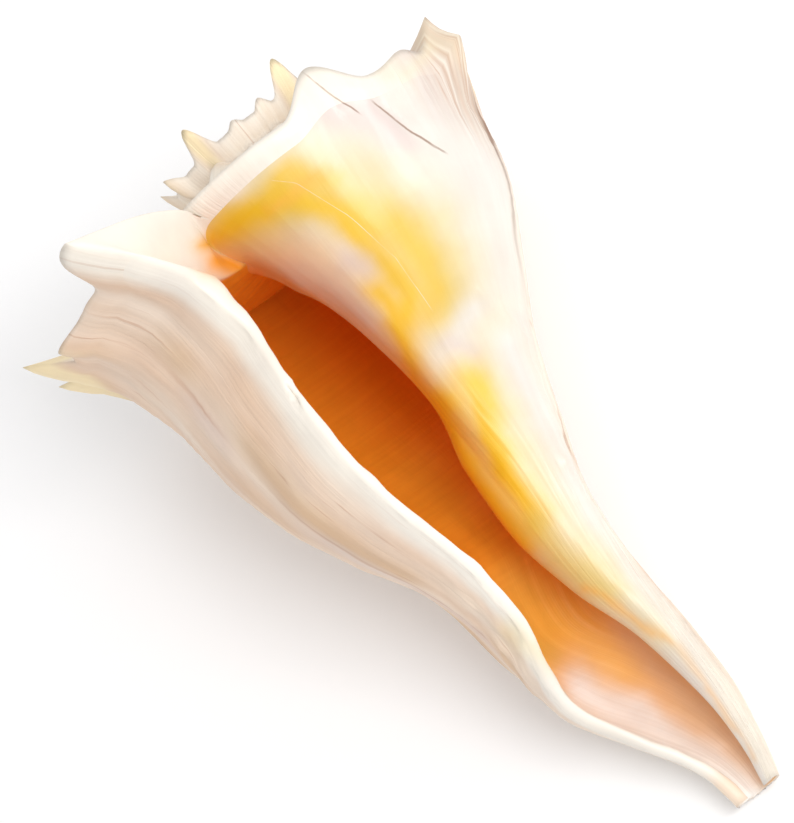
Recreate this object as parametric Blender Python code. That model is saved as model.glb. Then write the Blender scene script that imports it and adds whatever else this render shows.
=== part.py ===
# Left-coiling whelk shell, modelled as one closed faceted body.
# The tables are measured in steps of the scale STEP, about the coiling axis.
# Azimuth runs against the clock seen from the spire, and the shell grows
# with it until the outer lip. Share 0 is the shoulder, share 1 the end of
# the canal.
import math

import bpy
import numpy as np
from mathutils import Matrix

STEP = 0.000228

COLUMNS_PER_TURN = 60
LAG_COLUMNS = 4
SPIRAL_LAPS = 3.6
RAMP_ROWS = 4
LIP_DEG = 240.0

# Thickness of the wall, with the parts of it kept at the lip's edge and
# behind it, and the most of the radius that it may take
WALL = 20.0
EDGE_WALL = 0.7
INNER_WALL = 0.8
WALL_LIMIT = 0.55
RIM_ROUND = 7.0

# Hollow curve of the ramp, and how the spines fade into it
RAMP_DIP = 0.10
RAMP_DIP_LEAN = 1.25
RAMP_SPINE_OUT = 0.75
RAMP_SPINE_FADE = 1.3

# Inside of the shoulder: its place in walls, its hollow curve, and how far
# the lip's open spine is hollowed out
CEILING_INSET = 1.1
CEILING_DROP = 0.8
CEILING_DIP = 0.07
CEILING_END_ARCH = 1.6
CORNER_DROP = 0.35
OPEN_SPINE_COLUMNS = 8
OPEN_SPINE_REACH = 0.45
OPEN_SPINE_LOW = 0.3

APEX_RISE = 4.0
APEX_OFFSET = 6.0
CORE_GAP = 3.0
SUTURE_SHARE = 0.03

# Parts of a spine's reach left below the crest
SUTURE_SPINE_OUT = 0.55
SUTURE_SPINE_UP = 0.35
FRINGE_SPINE = 0.5
FRINGE = 0.16

REST_TIP_DEG = 16.9
REST_SPIN_DEG = 5.0

# Shares of the way from the shoulder to the end of the canal: where the tables
# are measured, and where the faceted body has its rows
MEASURED_SHARES = [0.0, 0.03, 0.08, 0.15, 0.25, 0.35, 0.45, 0.55, 0.65, 0.75, 0.85, 0.93, 1.0]
ROW_SHARES = [
    0.0, 0.03, 0.08, 0.15, 0.2, 0.25, 0.35, 0.45, 0.55, 0.6,
    0.65, 0.7, 0.75, 0.8, 0.85, 0.89, 0.93, 0.96, 0.988,
]

# Outer radius at each measured share, by azimuth
RADII = {
    240: [300, 268, 235, 236, 248, 250, 234, 194, 156, 135, 108, 66, 42],
    210: [286, 264, 243, 237, 239, 233, 207, 165, 142, 136, 100, 62, 40],
    180: [275, 262, 247, 239, 231, 211, 172, 131, 134, 131, 96, 58, 38],
    90: [245, 236, 225, 213, 190, 158, 118, 88, 78, 72, 58, 42, 26],
    0: [212, 208, 199, 186, 144, 100, 70, 45, 33, 22, 15, 11, 9],
    -45: [196, 190, 180, 166, 132, 92, 64, 45, 33, 22, 15, 11, 9],
    -90: [182, 172, 158, 140, 108, 80, 60, 46, 36, 24, 15, 11, 9],
    -120: [173, 156, 125, 92, 58, 42, 46, 46, 36, 22, 15, 10, 8],
    -150: [164, 146, 92, 58, 32, 26, 42, 46, 36, 22, 15, 10, 7],
    -180: [156, 140, 80, 48, 25, 21, 38, 43, 34, 22, 15, 9, 7],
    -270: [137, 123, 66, 40, 22, 19, 30, 34, 28, 18, 11, 8, 6],
    -360: [120, 108, 58, 36, 20, 17, 24, 28, 22, 15, 10, 7, 5],
    -450: [104, 94, 50, 30, 18, 15, 20, 22, 18, 12, 9, 6, 5],
}

# Sideways drift of the axis, azimuth of the lip and depth of the hollow
AXIS_DRIFT = [0, 0, 0, 0, 0, 0, 0, 0, 3, 14, 18, 12, 0]
LIP_AZIMUTH = [240, 240, 240, 240, 240, 240, 240, 239, 229, 201, 187, 183, 182]
HOLLOW_DEG = [300, 300, 300, 300, 300, 300, 290, 250, 200, 170, 165, 165, 165]

# Shoulder crest: radius grows by a fixed ratio, height by this table
CREST_RADIUS = 300.0
TURN_RATIO = 1.73
TIGHTEST_DEG = -800.0
CENTRE_DEG = -1150.0
CREST_AZIMUTH = [-1200, -700, -480, -414, -300, -180, -95, 0, 180, 240]
CREST_HEIGHT = [860, 852, 842, 838, 822, 802, 793, 780, 775, 770]

# The ramp arches up behind the lip's spine
LIP_ARCH = (240, 0, 34, 40)

# Broken end of the broad spine, felt one row below the crest
BROKEN_END = (-6, 22, 16, 16)

# Shoulder spines: azimuth, reach outward, reach upward, half width
SPINES = [
    (240, 98, 18, 16), (204, 20, -4, 10), (180, 48, 38, 8), (162, 60, 24, 8),
    (132, 36, 20, 8), (102, 36, 20, 8), (78, 34, 20, 8), (48, 32, 20, 8),
    (18, 26, 24, 8), (-6, 14, 46, 15), (-63, 4, 34, 16), (-414, 8, 36, 11),
    (-432, 6, 16, 6), (-450, 4, 10, 6), (-474, 8, 32, 11), (-504, 16, 10, 9),
    (-534, 12, 14, 9), (-564, 12, 14, 9), (-600, 10, 14, 9), (-636, 10, 14, 9),
    (-666, 8, 12, 9),
]

COLUMN_DEG = 360.0 / COLUMNS_PER_TURN
LAG_DEG = LAG_COLUMNS * COLUMN_DEG
LAP = COLUMNS_PER_TURN
HOLLOW_START = LAP + LAG_COLUMNS
ALL_COLUMNS = int(LAP * SPIRAL_LAPS)
LEVELS = len(ROW_SHARES) - 1
HOLLOW_COLUMNS = int(max(HOLLOW_DEG) / COLUMN_DEG)

SHELL_COLOUR = (0.82, 0.66, 0.47, 1.0)
SHELL_ROUGHNESS = 0.35


def smooth_through(xs, ys, x):
    """Value at x of a smooth curve through the points, without overshoot."""
    x = min(max(x, xs[0]), xs[-1])
    gaps = [b - a for a, b in zip(xs, xs[1:])]
    slopes = [(b - a) / g for a, b, g in zip(ys, ys[1:], gaps)]
    k = max(i for i in range(len(gaps)) if xs[i] <= x)

    def tangent(i):
        if i == 0:
            return slopes[0]
        if i == len(gaps):
            return slopes[-1]
        before, after = slopes[i - 1], slopes[i]
        if before * after <= 0:
            return 0.0
        first = 2 * gaps[i] + gaps[i - 1]
        second = gaps[i] + 2 * gaps[i - 1]
        return (first + second) / (first / before + second / after)

    t = (x - xs[k]) / gaps[k]
    start, end = tangent(k) * gaps[k], tangent(k + 1) * gaps[k]
    return ((1 + 2 * t) * (1 - t) ** 2 * ys[k] + t * (1 - t) ** 2 * start
            + t * t * (3 - 2 * t) * ys[k + 1] + t * t * (t - 1) * end)


def by_share(values, share):
    return smooth_through(MEASURED_SHARES, values, share)


def column_azimuth(i):
    return LIP_DEG - COLUMN_DEG * i


def spread(azimuth, bumps):
    """Summed outward and upward reach at an azimuth of smooth bumps."""
    out = up = 0.0
    for centre, reach_out, reach_up, half in bumps:
        near = max(0.0, 1 - abs(azimuth - centre) / half)
        near = near * near * (3 - 2 * near)
        out += reach_out * near
        up += reach_up * near
    return out, up


AZIMUTHS = sorted(RADII)
LOG_RADII = [[math.log(RADII[a][j]) for a in AZIMUTHS] for j in range(len(MEASURED_SHARES))]


def outer_radius(azimuth, share):
    """Radius of the outer face, following the whorls inward past the lip."""
    row = [smooth_through(AZIMUTHS, column, azimuth) for column in LOG_RADII]
    return math.exp(by_share(row, share))


def crest(azimuth):
    """Radius and height of the shoulder crest without its spines."""
    radius = CREST_RADIUS * TURN_RATIO ** ((max(azimuth, TIGHTEST_DEG) - LIP_DEG) / 360)
    if azimuth < TIGHTEST_DEG:
        radius *= max(0.0, (azimuth - CENTRE_DEG) / (TIGHTEST_DEG - CENTRE_DEG))
    return radius, smooth_through(CREST_AZIMUTH, CREST_HEIGHT, azimuth)


def place(radius, azimuth, height, drift=0.0):
    angle = math.radians(azimuth)
    return (drift + radius * math.cos(angle), radius * math.sin(angle), height)


class Grid:
    """Points kept by name, and the faces between them."""

    def __init__(self):
        self.points = []
        self.number = {}
        self.faces = []

    def add(self, name, point):
        self.number[name] = len(self.points)
        self.points.append(point)

    def face(self, *names):
        corners = []
        for name in names:
            if self.number[name] not in corners:
                corners.append(self.number[name])
        if len(corners) > 2:
            self.faces.append(corners)

    def polar(self, name):
        x, y, z = self.points[self.number[name]]
        return math.hypot(x, y), math.degrees(math.atan2(y, x)), z


def add_crest_and_levels(grid):
    for i in range(ALL_COLUMNS + 1):
        azimuth = column_azimuth(i)
        radius, height = crest(azimuth)
        out, up = spread(azimuth, SPINES)
        grid.add(("outer", i, 0), place(radius + out, azimuth, height + up))
        broken_out, broken_up = spread(azimuth, [BROKEN_END])
        below = outer_radius(azimuth, SUTURE_SHARE) + broken_out
        if azimuth < AZIMUTHS[0]:
            below *= radius / outer_radius(AZIMUTHS[0], 0.0)
        height *= 1 - SUTURE_SHARE
        radius = below + SUTURE_SPINE_OUT * out
        grid.add(("outer", i, 1), place(radius, azimuth, height + SUTURE_SPINE_UP * up + broken_up))
    for i in range(HOLLOW_START + 1):
        for j in range(2, LEVELS + 1):
            share = ROW_SHARES[j]
            azimuth = by_share(LIP_AZIMUTH, share) - i * COLUMN_DEG
            out, up = spread(azimuth, SPINES)
            fade = FRINGE_SPINE * max(0.0, 1 - share / FRINGE)
            radius = outer_radius(azimuth, share) + out * fade
            height = crest(azimuth)[1] * (1 - share) + up * fade
            grid.add(("outer", i, j), place(radius, azimuth, height, by_share(AXIS_DRIFT, share)))


def add_ramp(grid):
    """Sloping rows from the crest in to the suture on the whorl before."""
    for i in range(ALL_COLUMNS - LAP + 1):
        suture_radius, _, suture_height = grid.polar(("outer", i + LAP, 1))
        azimuth = column_azimuth(i)
        radius, height = crest(azimuth)
        out, up = spread(azimuth, SPINES)
        rise = spread(azimuth, [LIP_ARCH])[1]
        for row in range(1, RAMP_ROWS):
            t = row / RAMP_ROWS
            dip = RAMP_DIP * (radius - suture_radius) * math.sin(math.pi * min(1, RAMP_DIP_LEAN * t))
            fade = max(0.0, 1 - RAMP_SPINE_FADE * t)
            r = radius + (suture_radius - radius) * t + RAMP_SPINE_OUT * out * fade
            z = height + (suture_height - height) * t - dip + up * fade
            z += rise * math.sin(math.pi * t)
            grid.add(("outer", i, -row), place(r, azimuth, z))
        grid.number[("outer", i, -RAMP_ROWS)] = grid.number[("outer", i + LAP, 1)]


def add_outer_faces(grid):
    last = ALL_COLUMNS - LAP
    for i in range(last):
        for j in range(-RAMP_ROWS, LEVELS if i < LAP else 1):
            grid.face(("outer", i, j), ("outer", i + 1, j), ("outer", i + 1, j + 1), ("outer", i, j + 1))
    for i in range(LAP, HOLLOW_START):
        for j in range(2, LEVELS):
            grid.face(("outer", i, j), ("outer", i + 1, j), ("outer", i + 1, j + 1), ("outer", i, j + 1))
    top = grid.polar(("outer", ALL_COLUMNS, 1))[2] + APEX_RISE
    grid.add("apex", place(APEX_OFFSET, column_azimuth(ALL_COLUMNS) - 90, top))
    loop = [("outer", last, j) for j in range(1, -RAMP_ROWS, -1)]
    loop += [("outer", i, 1) for i in range(ALL_COLUMNS, last, -1)]
    for a, b in zip(loop, loop[1:] + loop[:1]):
        grid.face(a, b, "apex")


def add_hollow(grid):
    """Wall of the hollow: the whorl before on one side, the outer wall on the other."""
    for j in range(2, LEVELS + 1):
        share = ROW_SHARES[j]
        deep = by_share(HOLLOW_DEG, share)
        drift = by_share(AXIS_DRIFT, share)
        lip = by_share(LIP_AZIMUTH, share)
        for m in range(HOLLOW_COLUMNS + 1):
            part = m / HOLLOW_COLUMNS
            if m:
                turned = lip - 360 - LAG_DEG - (deep - LAG_DEG) * part
                height = crest(turned)[1] * (1 - share)
                grid.add(("inner", m, j), place(outer_radius(turned, share), turned, height, drift))
            azimuth = lip - deep * part
            radius = outer_radius(azimuth, share)
            wall = min((INNER_WALL if m else EDGE_WALL) * WALL, WALL_LIMIT * radius)
            radius = max(radius - wall, outer_radius(azimuth - 360, share) + CORE_GAP)
            height = crest(azimuth)[1] * (1 - share)
            grid.add(("under", m, j), place(radius, azimuth, height, drift))
        grid.number[("inner", 0, j)] = grid.number[("outer", HOLLOW_START, j)]


def add_ceiling(grid):
    """Inside of the shoulder and the ramp, up to the whorl before."""
    for m in range(HOLLOW_COLUMNS + 1):
        azimuth = LIP_DEG - HOLLOW_DEG[0] * m / HOLLOW_COLUMNS
        open_spine = max(0.0, 1 - m / OPEN_SPINE_COLUMNS)
        out, up = (open_spine * reach for reach in spread(azimuth, SPINES))
        radius, height = crest(azimuth)
        low = outer_radius(azimuth, SUTURE_SHARE) - WALL + OPEN_SPINE_LOW * out
        low_height = (1 - SUTURE_SHARE) * height - CORNER_DROP * WALL
        grid.add(("under", m, 1), place(low, azimuth, low_height))
        top_radius, top_height = radius - CEILING_INSET * WALL, height - CEILING_DROP * WALL
        out, up = OPEN_SPINE_REACH * out, OPEN_SPINE_REACH * up
        grid.add(("under", m, 0), place(top_radius + out, azimuth, top_height + up))
        end_radius, end_azimuth, end_height = grid.polar(("inner", m, 2))
        turn = (end_azimuth - azimuth + 180) % 360 - 180
        for row in range(1, RAMP_ROWS):
            t = row / RAMP_ROWS
            dip = CEILING_DIP * (radius - end_radius) * math.sin(math.pi * t)
            dip *= 1 - CEILING_END_ARCH * (m / HOLLOW_COLUMNS) ** 4
            r = top_radius + (end_radius - top_radius) * t
            z = top_height + (end_height - top_height) * t - dip
            grid.add(("under", m, -row), place(r, azimuth + turn * t, z))
        grid.number[("under", m, -RAMP_ROWS)] = grid.number[("inner", m, 2)]


def add_inner_faces(grid):
    for m in range(HOLLOW_COLUMNS):
        for j in range(-RAMP_ROWS, LEVELS):
            grid.face(("under", m, j), ("under", m, j + 1), ("under", m + 1, j + 1), ("under", m + 1, j))
        for j in range(2, LEVELS):
            grid.face(("inner", m, j), ("inner", m + 1, j), ("inner", m + 1, j + 1), ("inner", m, j + 1))
    end = HOLLOW_COLUMNS
    for j in range(-RAMP_ROWS + 1, 2):
        grid.face(("under", end, j), ("under", end, j + 1), ("inner", end, 2))
    for j in range(2, LEVELS):
        grid.face(("under", end, j), ("under", end, j + 1), ("inner", end, j + 1), ("inner", end, j))


def add_lip(grid):
    """Rounded edge between the outer face and the hollow, and the end of the canal."""
    for k in range(1, LAG_COLUMNS):
        share = SUTURE_SHARE + (ROW_SHARES[2] - SUTURE_SHARE) * (k / LAG_COLUMNS) ** 2
        azimuth = column_azimuth(LAP + k)
        height = crest(azimuth)[1] * (1 - share)
        grid.add(("rim", -RAMP_ROWS, k), place(outer_radius(azimuth, share), azimuth, height))
    for j in range(-RAMP_ROWS + 1, LEVELS + 1):
        a, b = (grid.points[grid.number[end]] for end in (("outer", 0, j), ("under", 0, j)))
        toward = by_share(LIP_AZIMUTH, ROW_SHARES[max(j, 0)]) + 90
        for k in range(1, LAG_COLUMNS):
            angle = math.pi * k / LAG_COLUMNS
            forward = place(RIM_ROUND * math.sin(angle), toward, 0.0)
            grid.add(("rim", j, k), tuple((p + q) / 2 + (p - q) / 2 * math.cos(angle) + f
                                          for p, q, f in zip(a, b, forward)))
    for j in range(-RAMP_ROWS, LEVELS + 1):
        grid.number[("rim", j, 0)] = grid.number[("outer", 0, j)]
        grid.number[("rim", j, LAG_COLUMNS)] = grid.number[("under", 0, j)]
    for k in range(LAG_COLUMNS):
        for j in range(-RAMP_ROWS, LEVELS):
            grid.face(("rim", j, k), ("rim", j + 1, k), ("rim", j + 1, k + 1), ("rim", j, k + 1))
        here, after = ("rim", -RAMP_ROWS, k), ("rim", -RAMP_ROWS, k + 1)
        grid.face(here, after, ("outer", LAP + k + 1, 2), ("outer", LAP + k, 2))
    loop = [("rim", LEVELS, k) for k in range(LAG_COLUMNS)]
    loop += [("under", m, LEVELS) for m in range(HOLLOW_COLUMNS + 1)]
    loop += [("inner", m, LEVELS) for m in range(HOLLOW_COLUMNS, 0, -1)]
    loop += [("outer", i, LEVELS) for i in range(HOLLOW_START, 0, -1)]
    grid.face(*reversed(loop))


def resting(points):
    """Turn the shell onto its back and set the middle of its box over the origin."""
    lay_down = Matrix(((1, 0, 0), (0, 0, 1), (0, -1, 0)))
    spin = Matrix.Rotation(math.radians(REST_SPIN_DEG), 3, "Y")
    tip = Matrix.Rotation(math.radians(REST_TIP_DEG), 3, "X")
    turned = np.array(points) @ np.array(tip @ spin @ lay_down).T * STEP
    low, high = turned.min(axis=0), turned.max(axis=0)
    return turned - [(low[0] + high[0]) / 2, (low[1] + high[1]) / 2, low[2]]


def shell_material():
    material = bpy.data.materials.new("whelk_shell")
    material.use_nodes = True
    shader = material.node_tree.nodes["Principled BSDF"]
    shader.inputs["Base Color"].default_value = SHELL_COLOUR
    shader.inputs["Roughness"].default_value = SHELL_ROUGHNESS
    return material


def main():
    for leftover in list(bpy.data.objects):
        bpy.data.objects.remove(leftover)
    grid = Grid()
    add_crest_and_levels(grid)
    add_ramp(grid)
    add_outer_faces(grid)
    add_hollow(grid)
    add_ceiling(grid)
    add_inner_faces(grid)
    add_lip(grid)
    mesh = bpy.data.meshes.new("shell")
    mesh.from_pydata([tuple(p) for p in resting(grid.points)], [], grid.faces)
    mesh.materials.append(shell_material())
    mesh.update()
    shell = bpy.data.objects.new("shell", mesh)
    group = bpy.data.collections.new("lightning_whelk_shell")
    bpy.context.scene.collection.children.link(group)
    group.objects.link(shell)


main()
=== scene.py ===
import math

import bmesh
import bpy
import numpy as np
from bpy.props import FloatProperty, FloatVectorProperty, IntProperty, PointerProperty
from mathutils import Matrix, Vector


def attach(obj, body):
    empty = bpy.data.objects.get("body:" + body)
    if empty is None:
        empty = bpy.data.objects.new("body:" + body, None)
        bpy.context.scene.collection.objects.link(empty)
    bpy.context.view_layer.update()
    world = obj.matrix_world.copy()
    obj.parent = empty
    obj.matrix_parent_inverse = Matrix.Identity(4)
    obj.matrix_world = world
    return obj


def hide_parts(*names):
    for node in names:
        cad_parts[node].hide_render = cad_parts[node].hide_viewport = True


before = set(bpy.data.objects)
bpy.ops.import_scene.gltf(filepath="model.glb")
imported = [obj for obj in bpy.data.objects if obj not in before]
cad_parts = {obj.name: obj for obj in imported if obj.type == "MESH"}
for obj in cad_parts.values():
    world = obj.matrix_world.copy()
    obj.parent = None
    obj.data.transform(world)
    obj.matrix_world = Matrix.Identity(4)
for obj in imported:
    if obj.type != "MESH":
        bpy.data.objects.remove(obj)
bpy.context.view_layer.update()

bl_info = {
    "name": "Whelk Shell",
    "version": (1, 0, 0),
    "blender": (4, 5, 0),
    "location": "View3D > Sidebar > Whelk",
    "description": "Builds a left-coiling whelk shell that lies on its back",
    "category": "Object",
}

# Lengths are in steps of the scale about the coiling axis. Azimuth runs against
# the clock seen from the spire, and the shell grows with it up to the lip.
# Share 0 is the shoulder and share 1 the end of the canal.

# Measured shares, and the outer radius at each of them, by azimuth
SHARES = np.array([0, 0.03, 0.08, 0.15, 0.25, 0.35, 0.45, 0.55, 0.65, 0.75, 0.85, 0.93, 1.0])
RADII = {
    240: [300, 268, 235, 236, 248, 250, 234, 194, 156, 135, 108, 66, 42],
    210: [286, 264, 243, 237, 239, 233, 207, 165, 142, 136, 100, 62, 40],
    180: [275, 262, 247, 239, 231, 211, 172, 131, 134, 131, 96, 58, 38],
    90: [245, 236, 225, 213, 190, 158, 118, 88, 78, 72, 58, 42, 26],
    0: [212, 208, 199, 186, 144, 100, 70, 45, 33, 22, 15, 11, 9],
    -45: [196, 190, 180, 166, 132, 92, 64, 45, 33, 22, 15, 11, 9],
    -90: [182, 172, 158, 140, 108, 80, 60, 46, 36, 24, 15, 11, 9],
    -120: [173, 156, 125, 92, 58, 42, 46, 46, 36, 22, 15, 10, 8],
    -150: [164, 146, 92, 58, 32, 26, 42, 46, 36, 22, 15, 10, 7],
    -180: [156, 140, 80, 48, 25, 21, 38, 43, 34, 22, 15, 9, 7],
    -270: [137, 123, 66, 40, 22, 19, 30, 34, 28, 18, 11, 8, 6],
    -360: [120, 108, 58, 36, 20, 17, 24, 28, 22, 15, 10, 7, 5],
    -450: [104, 94, 50, 30, 18, 15, 20, 22, 18, 12, 9, 6, 5],
}
AZIMUTHS = np.array(sorted(RADII), float)
LOG_RADII = np.log(np.array([RADII[a] for a in sorted(RADII)], float))

# Sideways drift of the axis, azimuth of the lip and depth of the hollow at each share
AXIS_DRIFT = np.array([0, 0, 0, 0, 0, 0, 0, 0, 3, 14, 18, 12, 0], float)
LIP_AZIMUTH = np.array([240, 240, 240, 240, 240, 240, 240, 239, 229, 201, 187, 183, 182], float)
HOLLOW_DEG = np.array([300, 300, 300, 300, 300, 300, 290, 250, 200, 170, 165, 165, 165], float)

# Shoulder crest: its height by azimuth, and its radius, which grows by a fixed
# ratio in a turn and closes toward the centre at the tip
CREST_AZIMUTH = np.array([-1200, -700, -480, -414, -300, -180, -95, 0, 180, 240], float)
CREST_HEIGHT = np.array([860, 852, 842, 838, 822, 802, 793, 780, 775, 770], float)
CREST_RADIUS = 300.0
TURN_RATIO = 1.73
LIP_DEG = 240.0
TIGHTEST_DEG = -800.0
CENTRE_DEG = -1150.0

# Shares of the suture, of the start of the hollow and of the last row, how far the
# lip's end is wrapped back round the whorl before, and the laps of the coil
SUTURE_SHARE = 0.03
FACE_SHARE = 0.08
LAST_SHARE = 0.988
LAG_DEG = 24
LAPS = 3.6

# Tip of the spire, beside the axis and above the last column
APEX_OFFSET = 6.0
APEX_RISE = 4.0

# Arch of the ramp behind the lip's spine, broken end of the broad spine and low
# shoulder beside it: azimuth, reach outward, reach upward, half width
LIP_ARCH = (240, 0, 34, 40)
BROKEN_END = (-6, 22, 16, 16)
SPINE_SHOULDER = (-28, 0, 14, 17)

# Hollow curve of the ramp, and how the spines fade into the ramp and the wall
RAMP_DIP = 0.10
RAMP_DIP_LEAN = 1.25
RAMP_FADE_AT = [0, 0.25, 0.5, 0.77]
RAMP_FADE_OUT = [1, 0.506, 0.26, 0]
RAMP_FADE_UP = [1, 0.675, 0.35, 0]
WALL_FADE_AT = [0, 0.03, 0.08, 0.16]
WALL_FADE_OUT = [1, 0.55, 0.25, 0]
WALL_FADE_UP = [1, 0.35, 0.25, 0]

# Parts of the wall's thickness kept at the lip's edge and behind it, where it is
# full again, the most of the radius that it takes, and the gap left at the core
EDGE_WALL = 0.7
INNER_WALL = 0.8
FULL_WALL_AT = 1 / 12
WALL_LIMIT = 0.55
CORE_GAP = 3.0

# Inside of the shoulder: its place in walls, its hollow curve, and how far the
# lip's open spine is hollowed out
CEILING_INSET = 1.1
CEILING_DROP = 0.8
CEILING_DIP = 0.07
CEILING_END_ARCH = 1.6
CORNER_DROP = 0.35
OPEN_SPINE_DEG = 48.0
OPEN_SPINE_REACH = 0.45
OPEN_SPINE_LOW = 0.3

# Shoulder spines: azimuth, reach outward, reach upward, half width
SPINES = [
    (240, 98, 18, 16), (204, 20, -4, 10), (180, 48, 38, 8), (162, 60, 24, 8),
    (132, 36, 20, 8), (102, 36, 20, 8), (78, 34, 20, 8), (48, 32, 20, 8),
    (18, 26, 24, 8), (-6, 14, 46, 15), (-63, 4, 34, 16), (-414, 8, 36, 11),
    (-432, 4, 9, 6), (-450, 3, 6, 6), (-474, 8, 32, 11), (-504, 16, 10, 9),
    (-534, 12, 14, 9), (-564, 12, 14, 9), (-600, 10, 14, 9), (-636, 10, 14, 9),
    (-666, 8, 12, 9),
]

# Rows and columns of the fine mesh, and how the rows widen toward the canal
CREST_ROWS = 4
FACE_ROWS = 6
RAMP_ROWS = 16
BODY_ROWS = 100
CEILING_ROWS = RAMP_ROWS + CREST_ROWS + FACE_ROWS
HOLLOW_COLUMNS = 150
RIM_BLEND_ROWS = 4
ROWS_WIDEN = 1.6
ROWS_EVEN_PART = 0.72

# Shares lent to the ramp's inner edge and to the ceiling's outer edge, for the
# patterns, and how near the sheets' edges are when they are merged
RAMP_SHARE = -0.15
CEILING_SHARE = 0.07
MERGE_STEPS = 0.004

# How the upright shell is laid on its back, in degrees and metres
REST_SPIN_DEG = 5.0
REST_TIP_DEG = 16.9
REST_SHIFT = (0.0097014, -0.0978257, 0.0060596)

# The viewer looks a little up the shell, which lies across the picture: the
# point looked at in steps, the cosine and sine of the picture's turn, the
# picture's width and the lens's focal length in pixels
VIEW_TILT_DEG = 12.0
VIEW_TARGET = (-54.0, 0.0, 533.0)
PICTURE_TURN = (0.777, 0.629)
PICTURE_WIDTH = 794
LENS_PIXELS = 4825

# Azimuth of the broad spine's middle, where the glaze fades out, and where the
# lines on it end
FAN_DEG = -8.0
GLAZE_EDGE = (14, -30)
LINED_DEG = 20.0

# Darkest and lightest factor of each fine pattern of the material
GROWTH_SHADE = ((0.93, 0.88, 0.83, 1), (1.03, 1.02, 1.01, 1))
CORD_SHADE = ((0.90, 0.78, 0.68, 1), (1.06, 1.08, 1.08, 1))
CANAL_SHADE = ((0.98, 0.93, 0.88, 1), (1.04, 1.04, 1.04, 1))
CLOUD_SHADE = ((0.93, 0.92, 0.92, 1), (1.03, 1.03, 1.02, 1))

# How often each pattern repeats across the growth lines and along them, in a
# whorl and from the shoulder to the canal, and the clouds in a metre
FINE_LINES = (300, 7, 1)
BROAD_LINES = (46, 3, 1)
CORD_LINES = (5, 150, 1)
CANAL_LINES = (110, 4, 1)
CLOUDS = (70, 70, 70)

# Floor's width and the point the lamps are aimed at, in metres, and for each lamp
# its size and its place in the camera's axes
FLOOR_METRES = 6
LAMPS_AIM = (0, 0, 0.05)
LAMPS = {
    "front": (0.45, (0.16, 0.22, 1.0)),
    "side": (0.14, (0.62, 0.50, 0.62)),
    "fill": (0.50, (-0.60, 0.60, 0.55)),
}

# Roughness of chalk and glaze, the glaze's thin coat, and the depth of the fine bumps
CHALK_ROUGH = 0.62
GLAZE_ROUGH = 0.38
GLAZE_COAT = 0.3
COAT_ROUGH = 0.22
BUMP_STRENGTH = 0.5
BUMP_METRES = 0.0006


def linear(hex_colour):
    """Linear RGB of a colour written as six hex digits."""
    parts = [int(hex_colour[i:i + 2], 16) / 255 for i in (0, 2, 4)]
    return [c / 12.92 if c <= 0.04045 else ((c + 0.055) / 1.055) ** 2.4 for c in parts]


def colour(name, hex_colour, description):
    """Colour that the user can change, with its default as six hex digits."""
    return FloatVectorProperty(name=name, description=description, subtype="COLOR", size=3,
                               min=0.0, max=1.0, default=linear(hex_colour))


class ShellShape(bpy.types.PropertyGroup):
    step: FloatProperty(name="Scale", description="Real length of one step of the tables",
                        default=0.000228, precision=6, unit="LENGTH")
    wall: FloatProperty(name="Wall", description="Thickness of the outer wall",
                        default=0.00456, precision=5, unit="LENGTH")
    rim: FloatProperty(name="Rounded lip", description="How far the lip's edge bulges forward",
                       default=0.0016, precision=5, unit="LENGTH")
    columns: IntProperty(name="Columns", description="Columns of faces in one whorl", default=360, min=60)


class ShellColours(bpy.types.PropertyGroup):
    outside: colour("Outside", "EACFB8", "Chalky outer wall")
    pale: colour("Pale outside", "F8F2E7", "Worn ramp and spire")
    spine: colour("Spines", "FCEBC4", "Hollow shoulder spines")
    rust: colour("Rust", "B98560", "Stained growth lines")
    lip: colour("Lip", "F3ECE1", "Porcelain edge of the lip")
    glaze: colour("Glaze", "E6E0D9", "White glaze beside the mouth")
    cream: colour("Cream", "E6D8B4", "Cream glaze")
    straw: colour("Straw", "E0C362", "Light yellow glaze")
    yolk: colour("Yolk", "EBBE22", "Yolk yellow glaze")
    amber: colour("Amber", "F4B548", "Amber corner and edges")
    apricot: colour("Apricot", "F4DCB8", "Apricot cheek of the glaze")
    orange: colour("Orange", "FFAC30", "Lit inside of the hollow")
    deep: colour("Deep orange", "FF9414", "Deep inside of the hollow")
    caramel: colour("Caramel", "ECBC88", "Channel of the canal")
    tan: colour("Tan", "D9B284", "Tan bands of the outer wall")
    lemon: colour("Lemon", "F3C52E", "Bright yellow beside the hollow")
    blush: colour("Blush", "FFFAF4", "Pink-white floor of the canal")
    mauve: colour("Mauve", "D9C6C4", "Greyish patches in the glaze")
    ash: colour("Ash", "D4C3B4", "Greyish fan of the broad spine")
    # Brown of painted shade: the shade lines on the glaze and the band below the broad spine
    shade_brown: colour("Brown", "8A6248", "Dark edge of the glaze")


class StageSettings(bpy.types.PropertyGroup):
    floor: colour("Floor", "FDFDFE", "Pale floor")
    sky: FloatProperty(name="Even light", description="Brightness of the white surroundings", default=0.74)
    front: FloatProperty(name="Front light", description="Power of the wide lamp beside the camera",
                         default=4.2, unit="POWER")
    side: FloatProperty(name="Side light", description="Power of the small lamp at the upper right",
                        default=1.2, unit="POWER")
    fill: FloatProperty(name="Fill light", description="Power of the lamp at the upper left",
                        default=0.5, unit="POWER")
    distance: FloatProperty(name="Camera distance", default=1.105, unit="LENGTH",
                            description="Distance from the lens to the middle of the shell")


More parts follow.
